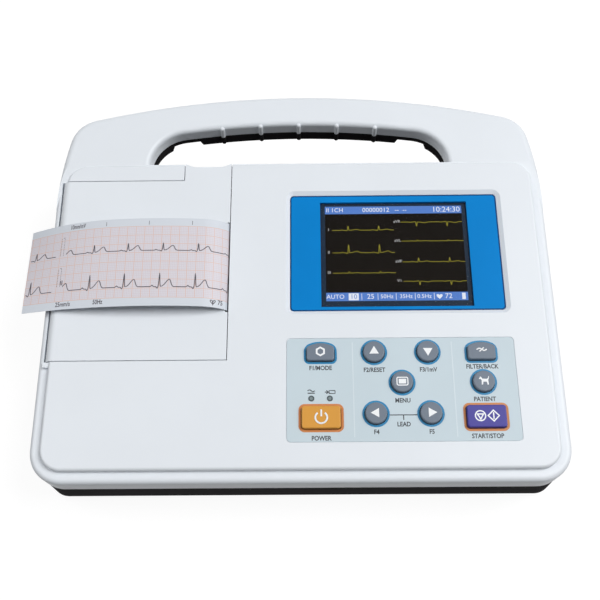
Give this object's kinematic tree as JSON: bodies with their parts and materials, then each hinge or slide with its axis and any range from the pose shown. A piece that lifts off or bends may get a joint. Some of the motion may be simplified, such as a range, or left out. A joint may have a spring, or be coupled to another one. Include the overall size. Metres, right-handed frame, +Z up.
{
  "type": "ecg machine",
  "caption": "Desktop ECG recorder: wedge-shaped case with a carrying handle, colour display, keypad and a hinged paper door over a thermal chart printer.",
  "frame": {"origin": "on the table, under the middle of the outline of the whole machine with its paper strip", "axes": "+X to the right along the front, +Y to the back, +Z up"},
  "size_m": [0.264, 0.2087, 0.0661],
  "materials": {
    "white_plastic": "fine satin",
    "black_plastic": "fine texture",
    "printed_paper": "smooth coated",
    "card": "plain",
    "blue_film": "satin",
    "clear_pane": "clear",
    "lcd_glass": "dark",
    "grey_film": "satin",
    "grey_key": "satin",
    "orange_key": "satin",
    "purple_key": "satin",
    "clear_plastic": "frosted",
    "steel": "bare",
    "aluminium": "bare",
    "plated": "nickel plated",
    "brass": "bare",
    "gear_plastic": "plain",
    "ceramic": "glazed",
    "black_rubber": "matt",
    "silicone": "matt",
    "board": "lacquered",
    "black_parts": "moulded",
    "flat_cable": "film",
    "battery_wrap": "shrink wrap"
  },
  "bodies": {
    "case": {"upper_housing": "white_plastic", "door_hinge_pins": "steel", "idler_pin": "steel", "stepper_motor": "steel", "printer_frame": "steel", "thermal_head": "ceramic", "head_bracket": "aluminium", "head_springs": "steel", "paper_web": "printed_paper", "display_lens": "blue_film", "display_window": "clear_pane", "lcd_panel": "lcd_glass", "lcd_frame": "steel", "keypad_overlay": "grey_film", "keypad_mat": "silicone", "keypad_board": "board", "indicator_lights": "clear_plastic", "handle_underside": "black_plastic", "case_screws": "steel", "lower_housing": "black_plastic", "socket_panel": "black_plastic", "paper_tray": "gear_plastic", "lcd_ribbon": "flat_cable", "keypad_ribbon": "flat_cable", "main_board": "board", "board_parts": "black_parts", "buzzer": "black_parts", "supply_board": "board", "supply_parts": "black_parts", "battery_pack": "battery_wrap", "battery_cover": "black_plastic", "patient_socket": "plated", "socket_posts": "plated", "mains_inlet": "black_plastic", "mains_pins": "plated", "earth_post": "brass", "rubber_feet": "black_rubber", "small_screws": "steel"},
    "paper_door": {"paper_door": "white_plastic", "platen_bushes": "gear_plastic", "paper_strip": "printed_paper"},
    "platen": {"platen_roller": "black_rubber", "platen_shaft": "steel", "platen_gear": "gear_plastic"},
    "idler": {"idler_gear": "gear_plastic"},
    "rotor": {"motor_pinion": "brass", "motor_shaft": "steel"},
    "chart_roll": {"paper_roll": "printed_paper", "roll_core": "card", "roll_spindle": "gear_plastic"},
    "f1_key": {"f1_key": "grey_key"},
    "up_key": {"up_key": "grey_key"},
    "down_key": {"down_key": "grey_key"},
    "filter_key": {"filter_key": "grey_key"},
    "menu_key": {"menu_key": "grey_key"},
    "patient_key": {"patient_key": "grey_key"},
    "left_key": {"left_key": "grey_key"},
    "right_key": {"right_key": "grey_key"},
    "power_key": {"power_key": "orange_key"},
    "start_key": {"start_key": "purple_key"}
  },
  "joints": [
    {"name": "door_hinge", "type": "hinge", "parent": "case", "child": "paper_door", "pos_m": [-0.1125, 0.00233, 0.05176], "axis": [0, -0.9945, -0.1045], "range_deg": [0, 95], "deforming": ["paper_strip", "paper_web"]},
    {"name": "roll_spin", "type": "hinge", "parent": "case", "child": "chart_roll", "pos_m": [-0.074, 0.00442, 0.03187], "axis": [0, 0.9945, 0.1045], "continuous": true},
    {"name": "platen_spin", "type": "hinge", "parent": "paper_door", "child": "platen", "pos_m": [-0.03488, 0.00284, 0.04689], "axis": [0, 0.9945, 0.1045], "continuous": true},
    {"name": "idler_spin", "type": "hinge", "parent": "case", "child": "idler", "pos_m": [-0.03247, 0.03336, 0.03871], "axis": [0, 0.9945, 0.1045], "continuous": true},
    {"name": "rotor_spin", "type": "hinge", "parent": "case", "child": "rotor", "pos_m": [-0.02225, 0.03365, 0.03598], "axis": [0, 0.9945, 0.1045], "continuous": true},
    {"name": "f1_key_press", "type": "slide", "parent": "case", "child": "f1_key", "axis": [0, 0.1045, -0.9945], "range_m": [0, 0.0012], "stiffness_N_per_m": 1250, "springref_m": -0.0004},
    {"name": "up_key_press", "type": "slide", "parent": "case", "child": "up_key", "axis": [0, 0.1045, -0.9945], "range_m": [0, 0.0012], "stiffness_N_per_m": 1250, "springref_m": -0.0004},
    {"name": "down_key_press", "type": "slide", "parent": "case", "child": "down_key", "axis": [0, 0.1045, -0.9945], "range_m": [0, 0.0012], "stiffness_N_per_m": 1250, "springref_m": -0.0004},
    {"name": "filter_key_press", "type": "slide", "parent": "case", "child": "filter_key", "axis": [0, 0.1045, -0.9945], "range_m": [0, 0.0012], "stiffness_N_per_m": 1250, "springref_m": -0.0004},
    {"name": "menu_key_press", "type": "slide", "parent": "case", "child": "menu_key", "axis": [0, 0.1045, -0.9945], "range_m": [0, 0.0012], "stiffness_N_per_m": 1250, "springref_m": -0.0004},
    {"name": "patient_key_press", "type": "slide", "parent": "case", "child": "patient_key", "axis": [0, 0.1045, -0.9945], "range_m": [0, 0.0012], "stiffness_N_per_m": 1250, "springref_m": -0.0004},
    {"name": "left_key_press", "type": "slide", "parent": "case", "child": "left_key", "axis": [0, 0.1045, -0.9945], "range_m": [0, 0.0012], "stiffness_N_per_m": 1250, "springref_m": -0.0004},
    {"name": "right_key_press", "type": "slide", "parent": "case", "child": "right_key", "axis": [0, 0.1045, -0.9945], "range_m": [0, 0.0012], "stiffness_N_per_m": 1250, "springref_m": -0.0004},
    {"name": "power_key_press", "type": "slide", "parent": "case", "child": "power_key", "axis": [0, 0.1045, -0.9945], "range_m": [0, 0.0012], "stiffness_N_per_m": 1250, "springref_m": -0.0004},
    {"name": "start_key_press", "type": "slide", "parent": "case", "child": "start_key", "axis": [0, 0.1045, -0.9945], "range_m": [0, 0.0012], "stiffness_N_per_m": 1250, "springref_m": -0.0004}
  ],
  "couplings": [
    {"joint": "platen_spin", "follows": "roll_spin", "ratio": 4.0816},
    {"joint": "idler_spin", "follows": "roll_spin", "ratio": -2.6239},
    {"joint": "rotor_spin", "follows": "roll_spin", "ratio": 5.2478}
  ]
}
